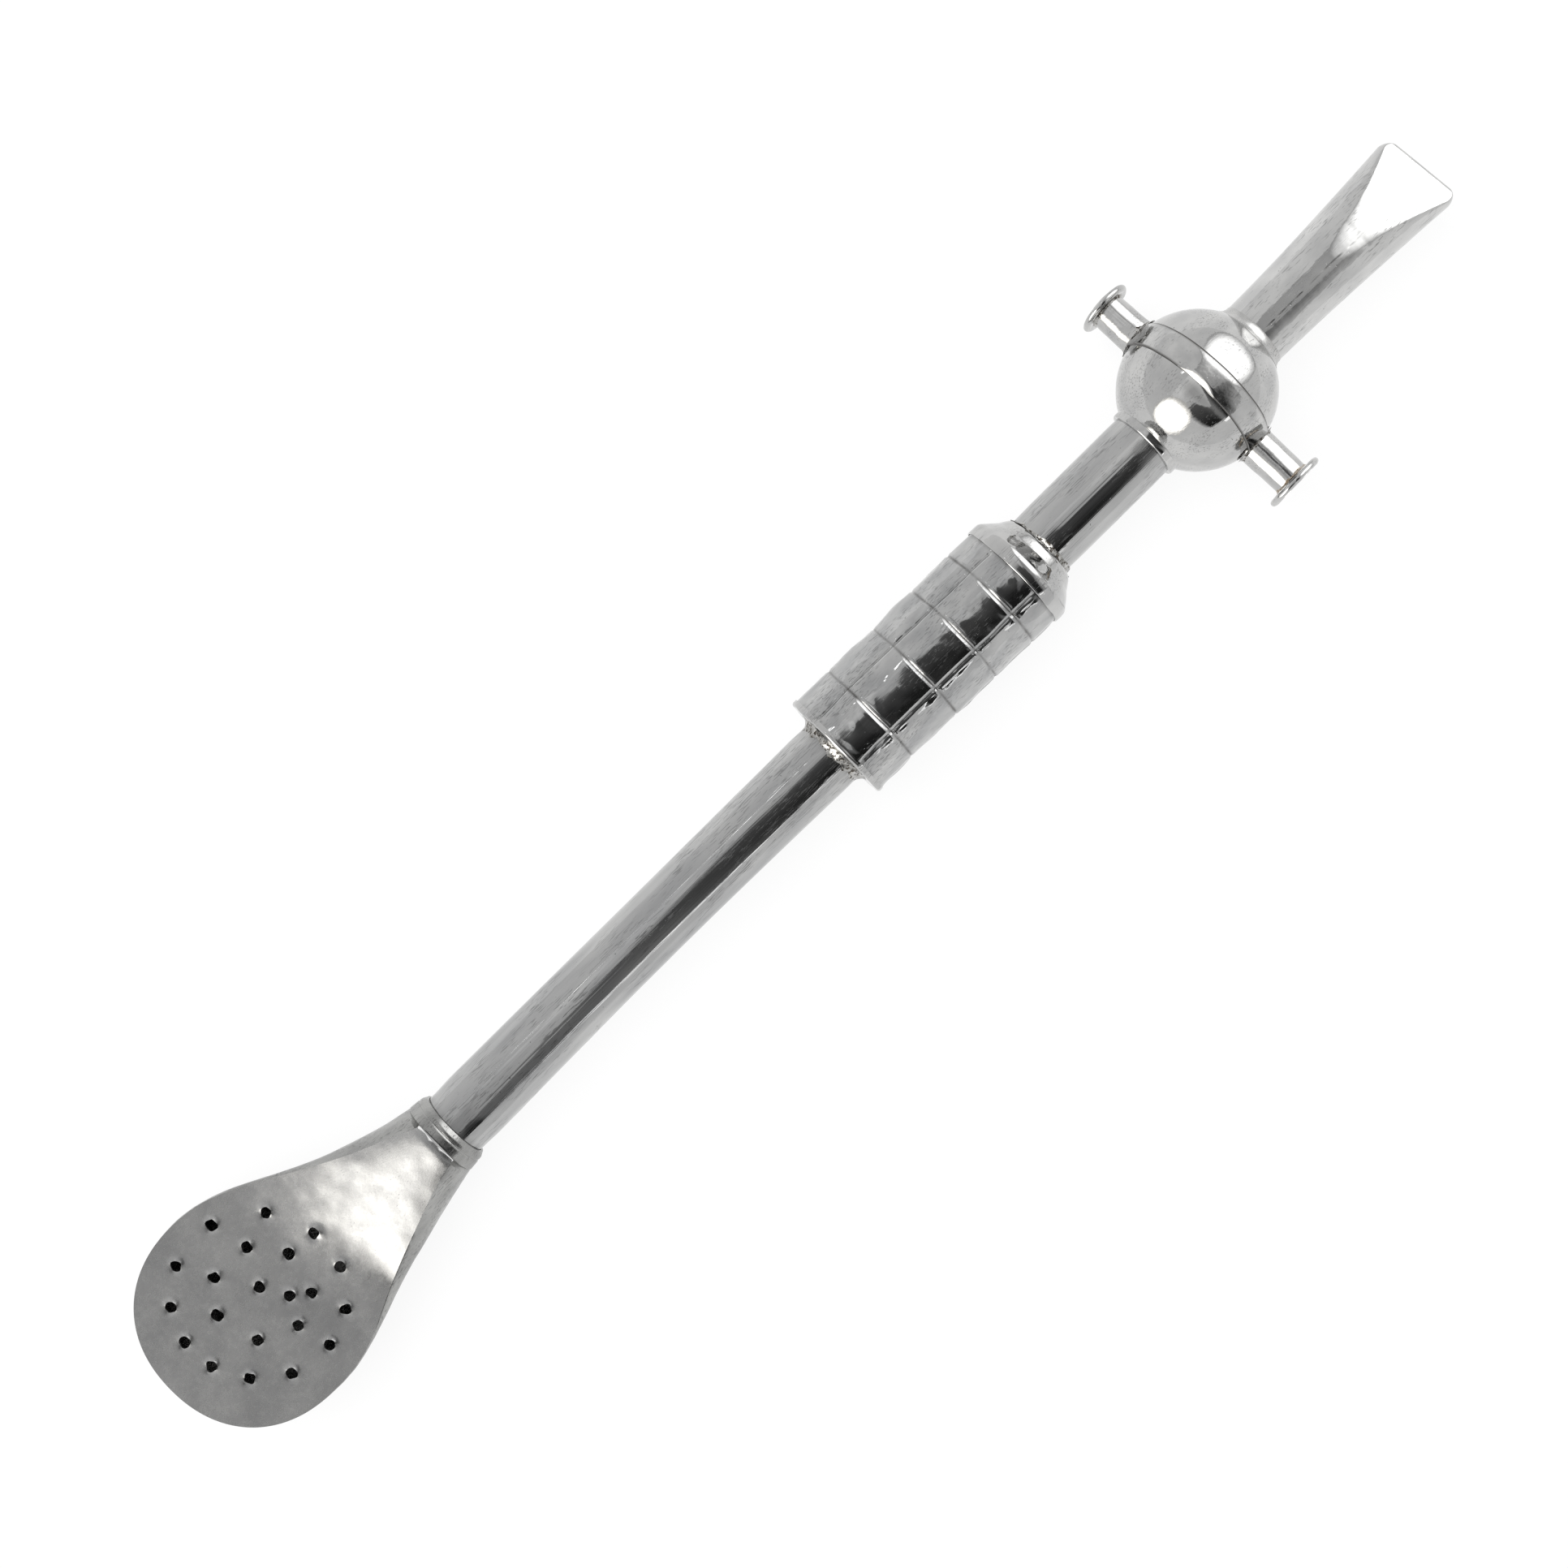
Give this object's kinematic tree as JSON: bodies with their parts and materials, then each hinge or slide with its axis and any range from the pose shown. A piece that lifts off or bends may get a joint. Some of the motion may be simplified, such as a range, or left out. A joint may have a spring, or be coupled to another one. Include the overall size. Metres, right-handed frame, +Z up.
{
  "type": "bombilla",
  "caption": "Metal drinking straw for mate: flattened mouthpiece, hollow ball with two stub arms, engraved barrel, long stem and a perforated spoon-shaped filter head that pulls off.",
  "frame": {"origin": "on the surface the straw lies on, under the middle of its length", "axes": "+X along the straw towards the mouthpiece, +Z up, the way the perforated filter plate faces"},
  "size_m": [0.1941, 0.0301, 0.0183],
  "materials": {
    "polished_metal": "polished",
    "bright_trim": "polished",
    "stem_metal": "polished",
    "engraved_metal": "polished",
    "dull_metal": "satin",
    "satin_plate": "satin",
    "solder": "satin",
    "tarnished_solder": "satin"
  },
  "bodies": {
    "straw": {"mouthpiece": "polished_metal", "mouthpiece_solder": "solder", "ball_upper_half": "polished_metal", "ball_lower_half": "polished_metal", "ball_belt": "bright_trim", "ball_collar": "bright_trim", "arm_tube_left": "polished_metal", "arm_tube_right": "polished_metal", "arm_solder_left": "solder", "arm_solder_right": "solder", "arm_flange_left": "bright_trim", "arm_flange_right": "bright_trim", "flange_solder_left": "tarnished_solder", "flange_solder_right": "tarnished_solder", "stem": "stem_metal", "barrel_shell": "engraved_metal", "barrel_shoulder": "polished_metal", "barrel_base": "polished_metal", "barrel_solder_top": "solder", "barrel_solder_bottom": "solder"},
    "filter_head": {"neck_ring": "dull_metal", "neck_sleeve": "dull_metal", "filter_back": "dull_metal", "filter_plate": "satin_plate"}
  },
  "joints": [
    {"name": "head_pull", "type": "slide", "parent": "straw", "child": "filter_head", "axis": [-1, 0, 0], "range_m": [0, 0.02]}
  ]
}
